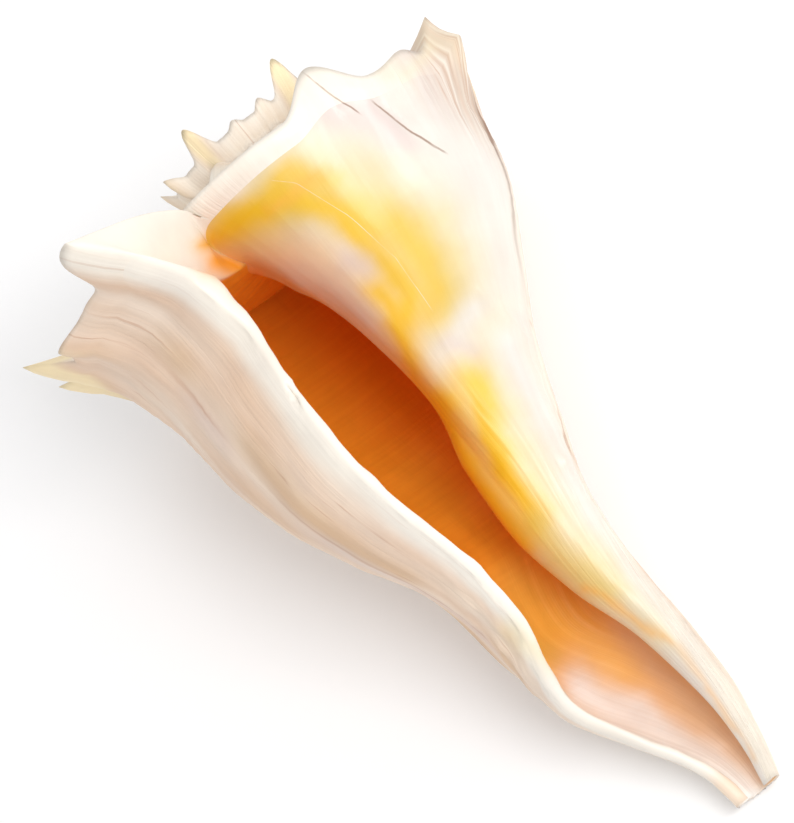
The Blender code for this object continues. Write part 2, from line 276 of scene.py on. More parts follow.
def curve(xs, ys, at):
    """Smooth curve without overshoot through ys, given along xs; at may be an array."""
    at = np.clip(np.asarray(at, float), xs[0], xs[-1])
    gaps = np.diff(xs).reshape((-1,) + (1,) * (ys.ndim - 1))
    slopes = np.diff(ys, axis=0) / gaps
    first, second = 2 * gaps[1:] + gaps[:-1], gaps[1:] + 2 * gaps[:-1]
    with np.errstate(divide="ignore", invalid="ignore"):
        mean = (first + second) / (first / slopes[:-1] + second / slopes[1:])
    tangents = np.zeros_like(ys)
    tangents[1:-1] = np.where(slopes[:-1] * slopes[1:] > 0, mean, 0)
    tangents[0], tangents[-1] = slopes[0], slopes[-1]
    k = np.clip(np.searchsorted(xs, at, side="right") - 1, 0, len(xs) - 2)
    t = ((at - xs[k]) / np.diff(xs)[k]).reshape(at.shape + (1,) * (ys.ndim - 1))
    gap = gaps[k].reshape(t.shape)
    return ((1 + 2 * t) * (1 - t) ** 2 * ys[k] + t * (1 - t) ** 2 * gap * tangents[k]
            + t * t * (3 - 2 * t) * ys[k + 1] + t * t * (t - 1) * gap * tangents[k + 1])


def smooth_step(low, high, x):
    """Smooth ramp from 0 at the first limit to 1 at the second, which may be the lower."""
    t = np.clip((x - low) / (high - low), 0, 1)
    return t * t * (3 - 2 * t)


def bump(azimuth, centre, half):
    """Smooth hump of height 1 at the centre, gone at half a width from it."""
    return smooth_step(0, 1, 1 - np.abs(azimuth - centre) / half)


def outer_radius(azimuth, share):
    """Radius of the outer face at one share, for an array of azimuths."""
    rows = curve(AZIMUTHS, LOG_RADII, azimuth)
    return np.exp(curve(SHARES, rows.T, share))


def crest(azimuth):
    """Radius and height of the shoulder crest without its spines."""
    radius = CREST_RADIUS * TURN_RATIO ** ((np.maximum(azimuth, TIGHTEST_DEG) - LIP_DEG) / 360)
    inner = np.clip((azimuth - CENTRE_DEG) / (TIGHTEST_DEG - CENTRE_DEG), 0, 1)
    return radius * inner, curve(CREST_AZIMUTH, CREST_HEIGHT, azimuth)


def spine_reach(azimuth):
    """Outward and upward reach of the spines."""
    humps = [(bump(azimuth, centre, half), out, up) for centre, out, up, half in SPINES]
    return sum(h * out for h, out, _ in humps), sum(h * up for h, _, up in humps)


def place(radius, azimuth, height, drift=0.0):
    """Places at a radius, azimuth and height about the axis, which may drift sideways."""
    angle = np.radians(azimuth)
    parts = np.broadcast_arrays(drift + radius * np.cos(angle), radius * np.sin(angle), height)
    return np.stack(parts, -1)


def body_shares():
    """Shares of the body's rows, even down to the face of the whorl before, then wider apart."""
    even = np.linspace(SUTURE_SHARE, FACE_SHARE, FACE_ROWS + 1)
    t = np.linspace(0, 1, BODY_ROWS - FACE_ROWS + 1)[1:]
    widening = ROWS_EVEN_PART * t + (1 - ROWS_EVEN_PART) * t ** ROWS_WIDEN
    return np.concatenate([even, FACE_SHARE + (LAST_SHARE - FACE_SHARE) * widening])


class Whorls:
    """Places of the shell's sheets, in steps, each as an array of columns by rows."""

    def __init__(self, shape):
        self.per_lap = shape.columns
        self.wall = shape.wall / shape.step
        self.rim_round = shape.rim / shape.step
        self.turn = 360 / self.per_lap
        self.lag = round(LAG_DEG / self.turn)
        self.depth = np.linspace(0, 1, HOLLOW_COLUMNS + 1)
        self.shares = body_shares()
        self.shoulder_shares = np.concatenate([np.linspace(RAMP_SHARE, 0, RAMP_ROWS + 1)[:-1],
                                               np.linspace(0, SUTURE_SHARE, CREST_ROWS + 1)])
        self.inside_shares = np.concatenate([np.linspace(RAMP_SHARE, CEILING_SHARE, CEILING_ROWS),
                                             self.shares[FACE_ROWS:]])
        self.azimuth = LIP_DEG - self.turn * np.arange(int(self.per_lap * LAPS) + 1)
        self.count = len(self.azimuth) - 1 - self.per_lap
        self.crest_radius, self.crest_height = crest(self.azimuth)
        self.out, self.up = spine_reach(self.azimuth)
        centre, _, rise, half = SPINE_SHOULDER
        self.up = self.up + rise * bump(self.azimuth, centre, half)

    def brow(self):
        """Narrow band of every whorl from the crest down to the suture."""
        inside = self.crest_radius / outer_radius(AZIMUTHS[:1], 0.0)
        inside = np.where(self.azimuth < AZIMUTHS[0], inside, 1.0)
        centre, broken_out, broken_up, half = BROKEN_END
        rows = []
        for share in np.linspace(0, SUTURE_SHARE, CREST_ROWS + 1):
            t = share / SUTURE_SHARE
            broken = bump(self.azimuth, centre, half) * t
            below = outer_radius(self.azimuth, share) * inside + broken_out * broken
            out = np.interp(share, WALL_FADE_AT, WALL_FADE_OUT) * self.out
            up = np.interp(share, WALL_FADE_AT, WALL_FADE_UP) * self.up
            radius = self.crest_radius * (1 - t) + below * t + out
            height = self.crest_height * (1 - share) + up + broken_up * broken
            rows.append(place(radius, self.azimuth, height))
        return np.stack(rows, 1)

    def ramp(self, brow):
        """From the suture on the whorl before out to the crest."""
        end = self.count + 1
        suture = brow[self.per_lap:, CREST_ROWS]
        suture_radius = np.hypot(suture[:, 0], suture[:, 1])
        start, height = self.crest_radius[:end], self.crest_height[:end]
        azimuth = self.azimuth[:end]
        centre, _, arch_up, half = LIP_ARCH
        rows = [suture]
        for row in range(RAMP_ROWS - 1, 0, -1):
            t = row / RAMP_ROWS
            dip = RAMP_DIP * (start - suture_radius) * math.sin(math.pi * min(1, RAMP_DIP_LEAN * t))
            out = self.out[:end] * np.interp(t, RAMP_FADE_AT, RAMP_FADE_OUT)
            up = self.up[:end] * np.interp(t, RAMP_FADE_AT, RAMP_FADE_UP)
            arch = arch_up * bump(azimuth, centre, half) * math.sin(math.pi * t)
            radius = start + (suture_radius - start) * t + out
            rows.append(place(radius, azimuth, height + (suture[:, 2] - height) * t - dip + up + arch))
        return np.stack(rows, 1)

    def body(self, first, last, shares):
        """Outer face below the suture, between two columns."""
        columns = np.arange(first, last + 1)
        centre, broken_out, broken_up, half = BROKEN_END
        rows = []
        for share in shares:
            azimuth = float(curve(SHARES, LIP_AZIMUTH, share)) - self.turn * columns
            out = np.interp(share, WALL_FADE_AT, WALL_FADE_OUT) * self.out[first:last + 1]
            up = np.interp(share, WALL_FADE_AT, WALL_FADE_UP) * self.up[first:last + 1]
            broken = bump(azimuth, centre, half) * np.interp(share, [SUTURE_SHARE, FACE_SHARE], [1, 0])
            radius = outer_radius(azimuth, share) + out + broken_out * broken
            height = crest(azimuth)[1] * (1 - share) + up + broken_up * broken
            rows.append(place(radius, azimuth, height, float(curve(SHARES, AXIS_DRIFT, share))))
        return np.stack(rows, 1)

    def face_path(self):
        """Edge of the lip's upper end, down the face of the whorl before."""
        t = np.linspace(0, 1, self.lag + 1)
        azimuth = self.azimuth[self.per_lap] - self.turn * np.arange(self.lag + 1)
        share = SUTURE_SHARE + (FACE_SHARE - SUTURE_SHARE) * t ** 2
        radius = np.array([float(outer_radius(a, s)) for a, s in zip(azimuth, share)])
        return share, place(radius, azimuth, crest(azimuth)[1] * (1 - share))

    def face_strip(self, path_shares):
        """Face of the whorl before between that edge and the start of the hollow."""
        columns = []
        for k, top in enumerate(path_shares):
            azimuth = self.azimuth[self.per_lap + k]
            column = []
            for share in np.linspace(top, FACE_SHARE, FACE_ROWS + 1):
                height = float(crest(azimuth)[1]) * (1 - share)
                column.append(place(float(outer_radius(azimuth, share)), azimuth, height))
            columns.append(np.array(column))
        return np.stack(columns)

    def hollow_rows(self):
        """Share, lip's azimuth, depth in degrees and drift of the axis in each row of the hollow."""
        for share in self.shares[FACE_ROWS:]:
            lip, deep, drift = (float(curve(SHARES, table, share))
                                for table in (LIP_AZIMUTH, HOLLOW_DEG, AXIS_DRIFT))
            yield share, lip, deep, drift

    def pillar(self):
        """Inner side of the hollow: the whorls before, wound about the axis."""
        rows = []
        for share, lip, deep, drift in self.hollow_rows():
            azimuth = lip - 360 - LAG_DEG - (deep - LAG_DEG) * self.depth
            height = crest(azimuth)[1] * (1 - share)
            rows.append(place(outer_radius(azimuth, share), azimuth, height, drift))
        return np.stack(rows, 1)

    def lining(self):
        """Inside of the outer wall."""
        kept = EDGE_WALL + (INNER_WALL - EDGE_WALL) * np.minimum(1, self.depth / FULL_WALL_AT)
        rows = []
        for share, lip, deep, drift in self.hollow_rows():
            azimuth = lip - deep * self.depth
            radius = outer_radius(azimuth, share)
            thick = np.minimum(self.wall * kept, WALL_LIMIT * radius)
            radius = np.maximum(radius - thick, outer_radius(azimuth - 360, share) + CORE_GAP)
            rows.append(place(radius, azimuth, crest(azimuth)[1] * (1 - share), drift))
        return np.stack(rows, 1)

    def ceiling(self, pillar, lining):
        """Inside of the ramp and the shoulder, from the pillar out to the lining."""
        azimuth = LIP_DEG - HOLLOW_DEG[0] * self.depth
        radius, height = crest(azimuth)
        out, up = spine_reach(azimuth)
        open_spine = np.clip(1 - (LIP_DEG - azimuth) / OPEN_SPINE_DEG, 0, 1)
        out, up = out * open_spine, up * open_spine
        top_radius, top_height = radius - CEILING_INSET * self.wall, height - CEILING_DROP * self.wall
        end = pillar[:, 0]
        end_radius = np.hypot(end[:, 0], end[:, 1])
        end_azimuth = np.degrees(np.arctan2(end[:, 1], end[:, 0]))
        turn = (end_azimuth - azimuth + 180) % 360 - 180
        arched = CEILING_DIP * (radius - end_radius) * (1 - CEILING_END_ARCH * self.depth ** 4)
        rows = [end]
        for row in range(RAMP_ROWS - 1, 0, -1):
            t = row / RAMP_ROWS
            dip = arched * math.sin(math.pi * t)
            spread = OPEN_SPINE_REACH * max(0.0, 1 - 4 * t)
            r = top_radius + (end_radius - top_radius) * t + spread * out
            z = top_height + (end[:, 2] - top_height) * t - dip + spread * up
            rows.append(place(r, azimuth + turn * t, z))
        corner = place(top_radius + OPEN_SPINE_REACH * out, azimuth, top_height + OPEN_SPINE_REACH * up)
        low = outer_radius(azimuth, SUTURE_SHARE) - self.wall + OPEN_SPINE_LOW * out
        low = place(low, azimuth, (1 - SUTURE_SHARE) * height - CORNER_DROP * self.wall)
        rows.append(corner)
        side = CREST_ROWS + FACE_ROWS - 1
        for k in range(1, side + 1):
            t = k / (side + 1)
            rows.append((1 - t) ** 2 * corner + 2 * t * (1 - t) * low + t * t * lining[:, 0])
        return np.stack(rows, 1)

    def lip(self, outer_edge, inner_edge, path):
        """Rounded edge between the outer face and the hollow."""
        start = RAMP_ROWS + CREST_ROWS
        along = np.concatenate([np.zeros(start), self.shares])
        toward = np.radians(curve(SHARES, LIP_AZIMUTH, along) + 90)
        forward = np.stack([np.cos(toward), np.sin(toward), np.zeros_like(toward)], -1)
        columns = []
        for k in range(self.lag + 1):
            angle = math.pi * k / self.lag
            middle, half = (outer_edge + inner_edge) / 2, (outer_edge - inner_edge) / 2
            columns.append(middle + half * math.cos(angle) + forward * self.rim_round * math.sin(angle))
        rim = np.stack(columns, 0)
        leave = np.clip(1 - np.arange(len(along)) / RIM_BLEND_ROWS, 0, 1)
        rim += leave[None, :, None] * (path - rim[:, 0])[:, None, :]
        rim[0], rim[-1] = outer_edge, inner_edge
        return rim


# Brush strokes of colour, across and along the shell as the viewer of the mouth
# sees it: colour, half width, strength and the points the stroke runs through
GLAZE_STROKES = [
    ("cream", 52, 0.75, [(0, 778), (60, 735), (76, 640), (52, 560)]),
    ("apricot", 30, 0.95, [(-74, 745), (-40, 715), (-14, 682), (6, 655)]),
    ("straw", 32, 0.9, [(-60, 768), (16, 742), (48, 700), (66, 645), (64, 600), (44, 566)]),
    ("yolk", 17, 0.95, [(-92, 772), (-40, 766), (0, 752), (26, 705), (32, 650), (28, 606), (8, 586)]),
    ("yolk", 12, 0.7, [(-30, 762), (16, 768), (40, 740)]),
    ("yolk", 16, 0.6, [(30, 700), (62, 660), (52, 596), (30, 576)]),
    ("lemon", 17, 0.95, [(6, 628), (0, 600), (-8, 565), (-14, 530), (-18, 505)]),
    ("amber", 9, 0.6, [(-122, 772), (-100, 768)]),
    ("amber", 5, 0.5, [(-30, 758), (4, 750), (44, 752)]),
    ("orange", 9, 0.9, [(-96, 738), (-86, 726), (-80, 718)]),
    ("glaze", 18, 0.9, [(70, 552), (38, 536), (16, 524)]),
    ("cream", 42, 0.9, [(44, 480), (16, 400), (10, 313), (0, 250), (12, 200)]),
    ("lemon", 22, 1.0, [(20, 500), (8, 450), (-8, 403), (-18, 350)]),
    ("lemon", 19, 1.0, [(-16, 500), (-30, 441), (-42, 386), (-44, 340)]),
    ("yolk", 8, 0.7, [(14, 480), (6, 440), (-4, 415)]),
    ("straw", 22, 0.75, [(-18, 350), (-20, 310), (-12, 262)]),
    ("amber", 5, 0.55, [(-22, 265), (-4, 225), (8, 190), (14, 150), (14, 90), (8, 40)]),
    ("glaze", 19, 0.9, [(70, 500), (58, 420), (42, 345), (40, 267), (44, 200), (38, 130), (34, 70)]),
    ("mauve", 14, 0.6, [(0, 668), (12, 654)]),
    ("mauve", 10, 0.4, [(28, 540), (38, 526)]),
    # These three mauve strokes are painted shade: beside the two creases, and on the right of the pillar's
    # crest
    ("mauve", 18, 0.55, [(72, 820), (90, 776), (104, 736)]),
    ("mauve", 14, 0.55, [(112, 772), (124, 726)]),
    ("mauve", 9, 0.7, [(110, 510), (92, 440), (66, 380), (56, 310)]),
    ("lip", 9, 1.0, [(-110, 800), (-84, 800), (-46, 796), (-10, 806), (30, 820), (84, 852)]),
]

# Soft washes of the outer wall by share and by azimuth, of the spire by azimuth,
# and of the hollow by the place along the shell: colour, strength, where it
# begins and where it is full
SHARE_WASHES = [("pale", 0.8, 0.55, 0.95), ("pale", 1.0, 0.01, -0.02)]
AZIMUTH_WASHES = [("pale", 0.8, 60, 0)]
SPIRE_WASHES = [("caramel", 0.35, -700, -1000)]
HOLLOW_WASHES = [("amber", 0.8, 350, 280), ("caramel", 0.5, 220, 120)]

HOLLOW_STROKES = [
    ("orange", 60, 0.7, [(-101, 752), (-82, 700), (-122, 600), (-116, 500), (-96, 420)]),
    ("orange", 30, 0.9, [(-116, 735), (-90, 700), (-60, 690)]),
    ("orange", 34, 1.0, [(-84, 450), (-70, 400), (-62, 340)]),
    ("amber", 30, 1.0, [(-66, 310), (-60, 270), (-52, 235), (-40, 190)]),
    ("caramel", 17, 1.0, [(-8, 215), (-10, 160), (-6, 110), (-2, 60), (-4, 15)]),
    ("blush", 27, 1.0, [(-88, 190), (-72, 150), (-58, 112), (-42, 62), (-32, 15)]),
    ("blush", 14, 0.8, [(-58, 140), (-46, 100), (-30, 50), (-24, 15)]),
]

# A yellowish place on the lower part of the lip
LIP_PATCH = [("straw", 13, 0.3, [(-97, 285), (-91, 235)])]

# Where the orange and the yellow run over the upper corner of the lip
LIP_STROKES = [
    ("amber", 8, 1.0, [(-99, 770), (-91, 768)]),
    ("orange", 15, 1.0, [(-100, 748), (-92, 738), (-82, 726), (-68, 716)]),
    *LIP_PATCH,
]

# Tints of the broad spine
SPINE_STROKES = [
    ("mauve", 14, 0.4, [(176, 795), (176, 760), (166, 720)]),
    ("cream", 10, 0.6, [(150, 800), (160, 778), (196, 786)]),
]

# Bands and stained growth lines of the outer wall: colour, azimuth, half width and strength
WALL_BANDS = [
    ("tan", 219, 9, 0.6), ("mauve", 210, 8, 0.35), ("tan", 200, 8, 0.5), ("tan", 162, 10, 0.3),
    ("tan", 118, 8, 0.35), ("tan", 40, 8, 0.3), ("rust", 212.5, 1.3, 0.5), ("rust", 197, 1.2, 0.5),
    ("rust", 141, 1.2, 0.4), ("rust", 74, 1.2, 0.4),
]

# Painted shade, drawn as dark lines on the glaze in two creases, beside the pillar's crest and along the
# right edge: half width and the points they run through
PAINTED_SHADE_LINES = [
    (1.3, [(84, 840), (90, 808), (99, 780)]),
    (1.6, [(122, 764), (130, 730), (141, 700)]),
    (1.8, [(172, 610), (158, 585), (140, 556), (122, 530)]),
    (1.6, [(104, 500), (82, 440), (58, 392), (48, 345), (46, 300)]),
]

# Pale lines where the glaze once ended
PALE_LINES = [(0.6, [(-4, 772), (10, 758), (30, 700), (40, 640), (36, 580)])]

# Creases and ridges felt on the surface: half width, height and the points
# they run through
FRONT_RELIEF = [
    (5, -1.6, [(84, 842), (93, 778)]),
    (5, -1.6, [(124, 772), (136, 702)]),
    (7, 4.5, [(84, 560), (92, 493), (74, 437), (46, 377), (38, 338), (38, 267), (46, 200), (48, 133)]),
    (5, -9.0, [(-120, 600), (-134, 586)]),
    (12, 2.0, [(-107, 690), (-57, 679)]),
]


def near_path(across, along, path):
    """Distance of each place from a line through a few points."""
    best = np.full(np.shape(across), np.inf)
    for (u0, v0), (u1, v1) in zip(path, path[1:]):
        du, dv = u1 - u0, v1 - v0
        t = np.clip(((across - u0) * du + (along - v0) * dv) / (du * du + dv * dv), 0, 1)
        best = np.minimum(best, np.hypot(across - u0 - t * du, along - v0 - t * dv))
    return best


def drawn(places, lines):
    """Signed distance from the nearest line in half widths, and how boldly the line is drawn."""
    across, along = seen_from_front(places)
    nearest, side = np.full(across.shape, 20.0), np.zeros(across.shape)
    for half, path in lines:
        for (u0, v0), (u1, v1) in zip(path, path[1:]):
            du, dv = u1 - u0, v1 - v0
            part = ((across - u0) * du + (along - v0) * dv) / (du * du + dv * dv)
            t = np.clip(part, 0, 1)
            away = np.hypot(across - u0 - t * du, along - v0 - t * dv) / half
            signed = ((across - u0) * dv - (along - v0) * du) / math.hypot(du, dv) / half
            closer = away < nearest
            nearest = np.where(closer, away, nearest)
            side = np.where(closer, signed, side)
    return side, smooth_step(8, 4, nearest)


def ripple(x, y, size):
    """Even, seedless wobble between about -1 and 1, felt over the size given."""
    x, y = x / size, y / size
    waves = (np.sin(1.9 * x + 0.7 * y + 0.4) + np.sin(-1.1 * x + 2.3 * y + 2.1)
             + np.sin(3.7 * x - 1.3 * y + 1.3) * 0.6 + np.sin(2.9 * x + 4.1 * y + 5.2) * 0.5)
    return waves / 3.1


def mixed(base, other, amount):
    """Blends a colour over others by an amount for each place."""
    amount = np.clip(amount, 0, 1)[..., None]
    return base * (1 - amount) + np.array(other) * amount


def washed(base, washes, colours, measure):
    """Adds washes that begin at one value of the measure and are full at another."""
    for name, strength, begins, full in washes:
        base = mixed(base, getattr(colours, name), strength * smooth_step(begins, full, measure))
    return base


def brushed(base, strokes, colours, places):
    """Adds brush strokes whose edges wander a little."""
    across, along = seen_from_front(places)
    bent_across = across + 7 * ripple(across, along, 40) + 2.5 * ripple(along, across, 11)
    bent_along = along + 7 * ripple(along, across, 36)
    for name, half, strength, path in strokes:
        cover = strength * np.exp(-(near_path(bent_across, bent_along, path) / half) ** 2)
        base = mixed(base, getattr(colours, name), cover)
    return base


def seen_from_front(places):
    """Position across and along the shell as the viewer of the mouth sees it."""
    tilt = math.radians(VIEW_TILT_DEG)
    return places[..., 0], places[..., 2] * math.cos(tilt) - places[..., 1] * math.sin(tilt)


def outside_tint(places, azimuth, share, colours):
    """Chalky outer wall, paler toward the canal, the ramp, the lip and the spire."""
    azimuth, share = np.broadcast_arrays(azimuth, share)
    base = np.broadcast_to(np.array(colours.outside), places.shape)
    base = washed(base, SHARE_WASHES, colours, share)
    base = washed(base, AZIMUTH_WASHES, colours, azimuth)
    base = mixed(base, colours.pale, 0.15 + 0.3 * ripple(azimuth * 3, share * 230, 22))
    base = broad_spine_tint(base, azimuth, share, colours)
    base = spine_tint(base, azimuth, share, colours)
    base = band_tint(base, azimuth, share, colours)
    front = smooth_step(0, -30, places[..., 1:2])
    base = base + (brushed(base, SPINE_STROKES, colours, places) - base) * front
    base = washed(base, SPIRE_WASHES, colours, azimuth)
    ragged = azimuth + 2 * ripple(share * 700, share * 200, 60)
    base = mixed(base, colours.lip, smooth_step(232, 238, ragged))
    return base + (brushed(base, LIP_PATCH, colours, places) - base) * front


def broad_spine_tint(base, azimuth, share, colours):
    """Greyish fan with rusty lines and with white lines that are painted highlights, and a brown band below
    it that is painted shade at the right edge of the glaze.
    """
    fan = bump(azimuth, FAN_DEG, 42) * smooth_step(0.2, 0.06, np.abs(share))
    # White lines: painted highlights along the fan
    white = smooth_step(0.1, 0.9, np.sin(2.3 * azimuth + 9 * share))
    rusty = smooth_step(0.3, 0.9, np.sin(1.7 * azimuth - 12 * share))
    base = mixed(base, colours.ash, fan)
    base = mixed(base, colours.lip, 0.8 * fan * white)
    base = mixed(base, colours.rust, 0.45 * fan * rusty)
    # Painted shade: a brown band at the right edge of the glaze, below the spine
    stained = bump(azimuth + 5 * ripple(share * 900, share * 300, 60), 2, 5) * smooth_step(0.05, 0.1, share)
    return mixed(base, colours.shade_brown, 0.9 * stained * smooth_step(0.32, 0.18, share))


def spine_tint(base, azimuth, share, colours):
    """Tan feet and cream tips of the shoulder spines, and a caramel tint along the suture."""
    out, up = spine_reach(azimuth)
    reach = np.hypot(out, up) * smooth_step(225, 200, azimuth) * smooth_step(0.10, 0.0, np.abs(share))
    base = mixed(base, colours.tan, 0.25 * smooth_step(3, 16, reach) * (1 - bump(azimuth, FAN_DEG, 40)))
    base = mixed(base, colours.spine, smooth_step(12, 30, reach) * (1 - 0.7 * bump(azimuth, FAN_DEG, 30)))
    return mixed(base, colours.caramel, 0.12 * smooth_step(-0.10, -0.145, share))


def band_tint(base, azimuth, share, colours):
    """Bands and stained lines that wander a little along the growth lines and break off."""
    grown = azimuth + 1.6 * ripple(share * 900, share * 300, 170)
    wall = smooth_step(0.04, 0.14, share) * smooth_step(0.85, 0.65, share)
    for name, centre, half, strength in WALL_BANDS:
        broken = smooth_step(-0.4, 0.3, ripple(share * 700 + centre * 9, share * 90, 75))
        base = mixed(base, getattr(colours, name), strength * wall * broken * bump(grown, centre, half))
    return base


def glaze_tint(places, colours):
    """White glaze with its yellow, apricot and greyish patches."""
    base = np.broadcast_to(np.array(colours.glaze), places.shape)
    return brushed(base, GLAZE_STROKES, colours, places)


def glaze_cover(azimuth, share):
    """How far the glaze covers the last whorl, from the mouth round to the right."""
    slant = 60 * (share - 0.3) + 42 * smooth_step(0.2, 0.02, share)
    return smooth_step(*GLAZE_EDGE, azimuth + slant)


def hollow_tint(places, colours):
    """Orange inside, paler toward the canal."""
    along = seen_from_front(places)[1]
    base = np.broadcast_to(np.array(colours.deep), places.shape)
    base = washed(base, HOLLOW_WASHES, colours, along)
    return brushed(base, HOLLOW_STROKES, colours, places)


def front_relief(places):
    """Creases and ridges, the lower ones knobbly."""
    across, along = seen_from_front(places)
    knobs = 0.6 * ripple(across, along, 9) + 0.5 * np.sin(0.22 * along)
    knobbly = 1 + knobs * smooth_step(570, 520, along)
    return knobbly * sum(height * np.exp(-(near_path(across, along, path) / half) ** 2)
                         for half, height, path in FRONT_RELIEF)


def growth_relief(azimuth, share):
    """Low folds along the growth lines, and faint cords round the whorl."""
    age = azimuth + 14 * ripple(share * 900, share * 300, 160)
    folds = 0.9 * ripple(age, age * 0.7 + share * 40, 5) + 0.7 * ripple(age, share * 60, 2.2)
    folds = folds * (1 + 1.2 * bump(azimuth, FAN_DEG, 34) * smooth_step(0.2, 0.08, np.abs(share)))
    near_lip = bump(azimuth, 224, 22) - 1.2 * bump(azimuth, 208, 14)
    cords = 0.35 * np.sin(share * 340) * smooth_step(0.5, 0.2, share)
    return folds + 1.6 * near_lip * smooth_step(0.0, 0.1, share) + cords


class Sheet:
    """A sheet of places with its tint and finish, ready to be laid into the mesh."""

    def __init__(self, places, azimuth, share, tint, glaze=0.0, inside=0.0, relief=0.0):
        size = places.shape[:2]
        whole = np.broadcast_to
        canal = smooth_step(360, 260, seen_from_front(places)[1]) * inside
        # Painted shade lines and pale growth lines, drawn only on the side toward the viewer of the mouth
        dark, shade_bold = drawn(places, PAINTED_SHADE_LINES)
        pale, pale_bold = drawn(places, PALE_LINES)
        shown = (whole(azimuth, size) < LINED_DEG) & whole(np.asarray(inside) < 0.5, size)
        shown = shown * smooth_step(20, -10, places[..., 1])
        marks = [dark, shade_bold * shown, pale, 0.6 * pale_bold * shown]
        self.marks = np.stack(marks, -1).reshape(-1, 4)
        self.size = size
        self.grid = places
        self.places = places.reshape(-1, 3)
        self.lines = np.stack([whole(azimuth, size) / 360, whole(share, size)], -1).reshape(-1, 2)
        self.tint = np.concatenate([tint, np.ones((*size, 1))], -1).reshape(-1, 4)
        finish = [whole(glaze, size), whole(inside * (1 - canal), size), canal, np.ones(size)]
        self.finish = np.stack(finish, -1).reshape(-1, 4)
        self.relief = whole(relief, size).ravel()

    def lay(self, bm, layers):
        """Adds a grid to the mesh and moves its vertices to the sheet's places."""
        start = len(bm.verts)
        bmesh.ops.create_grid(bm, x_segments=self.size[1] - 1, y_segments=self.size[0] - 1, size=1.0)
        bm.verts.ensure_lookup_table()
        lines, tint, finish, marks, relief = layers
        rows = zip(self.places.tolist(), self.lines.tolist(), self.tint.tolist(), self.finish.tolist(),
                   self.marks.tolist(), self.relief.tolist())
        for vert, (place_at, line, colour_of, finish_of, marks_of, height) in zip(bm.verts[start:], rows):
            vert.co = place_at
            vert[relief] = height
            for loop in vert.link_loops:
                loop[lines].uv = line
                loop[tint] = colour_of
                loop[finish] = finish_of
                loop[marks] = marks_of


def shoulder_sheet(whorls, brow, colours):
    """Ramp and shoulder of every whorl."""
    end = whorls.count + 1
    places = np.concatenate([whorls.ramp(brow), brow[:end]], 1)
    azimuth, share = whorls.azimuth[:end, None], whorls.shoulder_shares[None, :]
    worn = bump(azimuth, -75, 75) * smooth_step(-0.05, -0.01, share)
    tint = mixed(outside_tint(places, azimuth, share, colours), colours.lip, worn)
    ridges = growth_relief(azimuth, share) * smooth_step(-900, -500, azimuth)
    return Sheet(places, azimuth, share, tint, 0.85 * worn, relief=0.5 * ridges * (1 - worn))


def wall_sheet(whorls, brow, colours):
    """Outer face of the last whorl, glazed from the mouth round to the right."""
    lap, share = whorls.per_lap, whorls.shares[None, :]
    places = np.concatenate([brow[:lap + 1, CREST_ROWS:], whorls.body(0, lap, whorls.shares[1:])], 1)
    azimuth = whorls.azimuth[:lap + 1, None]
    glazed = glaze_cover(azimuth, share)
    chalk = outside_tint(places, azimuth, share, colours)
    tint = chalk * (1 - glazed[..., None]) + glaze_tint(places, colours) * glazed[..., None]
    relief = growth_relief(azimuth, share) * (1 - 0.8 * glazed) + front_relief(places) * glazed
    wrinkled = bump(share, 0.66, 0.16) * smooth_step(200, 226, azimuth)
    relief = relief + 3.0 * wrinkled * ripple(share * 900, azimuth * 4, 16)
    polished = np.maximum(glazed, 0.6 * smooth_step(230, 236, azimuth))
    return Sheet(places, azimuth, share, tint, polished, relief=relief)


def face_sheet(whorls, colours):
    """Glazed face of the whorl before, between the lip's end and the hollow."""
    lap, last, share = whorls.per_lap, whorls.per_lap + whorls.lag, whorls.shares
    places = np.concatenate([whorls.face_strip(whorls.face_path()[0]),
                             whorls.body(lap, last, share[FACE_ROWS + 1:])], 1)
    azimuth = whorls.azimuth[lap:last + 1, None]
    tint = glaze_tint(places, colours)
    return Sheet(places, azimuth, share[None, :], tint, 1.0, relief=front_relief(places))


def pillar_sheet(whorls, start, colours):
    """Pillar side of the hollow, from the column where the glazed face ends."""
    depth, share = whorls.depth[:, None], whorls.shares[None, FACE_ROWS:]
    places = whorls.pillar()
    places[0] = start
    within = smooth_step(0.02, 0.2, depth) * np.ones_like(share)
    tint = glaze_tint(places, colours) * (1 - within[..., None])
    tint = tint + hollow_tint(places, colours) * within[..., None]
    azimuth = whorls.azimuth[whorls.per_lap + whorls.lag] - (HOLLOW_DEG[0] - LAG_DEG) * depth
    return Sheet(places, azimuth, share, tint, 1.0, within, front_relief(places))


def inside_sheet(whorls, pillar, colours):
    """Inside of the ramp, the shoulder and the outer wall."""
    lining = whorls.lining()
    places = np.concatenate([whorls.ceiling(pillar, lining), lining], 1)
    depth, share = whorls.depth[:, None], whorls.inside_shares[None, :]
    edge = smooth_step(0.014, 0.0, depth) * np.ones_like(share)
    tint = mixed(hollow_tint(places, colours), colours.lip, edge)
    tint = brushed(tint, LIP_STROKES, colours, places)
    ripples = 0.5 * ripple(depth * 300, share * 30, 5) * smooth_step(0, 0.05, depth)
    ripples = ripples * (0.25 + 0.75 * smooth_step(0.75, 0.6, share))
    return Sheet(places, LIP_DEG - HOLLOW_DEG[0] * depth, share, tint, 1.0, 1.0, ripples)


def lip_sheet(whorls, outer_edge, inner_edge, colours):
    """Rounded lip with a low wave along it."""
    places = whorls.lip(outer_edge, inner_edge, whorls.face_path()[1])
    share = np.concatenate([whorls.shoulder_shares, whorls.shares[1:]])[None, :]
    tint = brushed(np.broadcast_to(np.array(colours.lip), places.shape), LIP_STROKES, colours, places)
    canal_end = smooth_step(0.92, 0.96, share) * np.ones((places.shape[0], 1))
    tint = mixed(tint, colours.caramel, 0.4 * canal_end)
    wave = 1.6 * ripple(share * 900, share * 300, 24) * smooth_step(0.0, 0.1, share)
    return Sheet(places, LIP_DEG, share, tint, 0.6, relief=front_relief(places) + wave)


